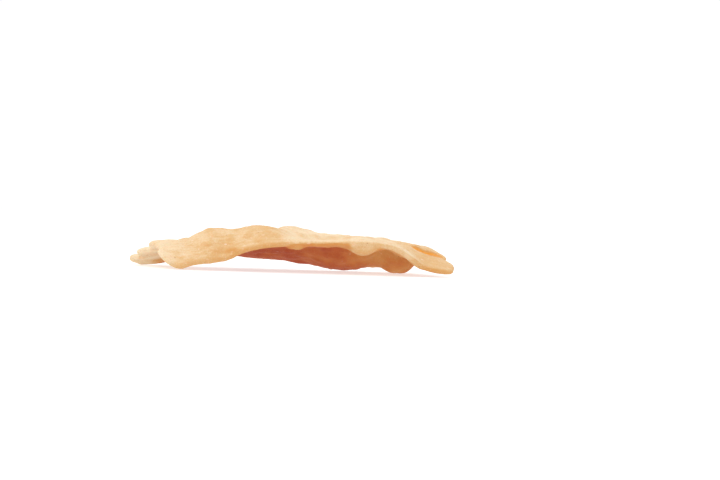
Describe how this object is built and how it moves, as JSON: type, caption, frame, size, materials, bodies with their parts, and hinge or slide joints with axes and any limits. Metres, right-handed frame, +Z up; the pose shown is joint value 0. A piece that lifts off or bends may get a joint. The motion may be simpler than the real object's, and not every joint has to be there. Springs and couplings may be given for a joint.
{
  "type": "flatbread cracker biscuit",
  "caption": "Long thin baked cracker with fluted cut ends, an arched front rim, rolling waves and blisters, lying on its corners and underside blisters.",
  "frame": {"origin": "under the middle of the cracker, on the table it lies on", "axes": "+X along the cracker towards its drooping end, +Y from the front rim to the back rim, +Z up from the table"},
  "size_m": [0.128, 0.0532, 0.0183],
  "materials": {
    "crust": "matte pale golden baked crust, red-brown underneath, with fine blisters, streaks and specks"
  },
  "bodies": {
    "root": {"cracker": "crust"}
  },
  "joints": []
}
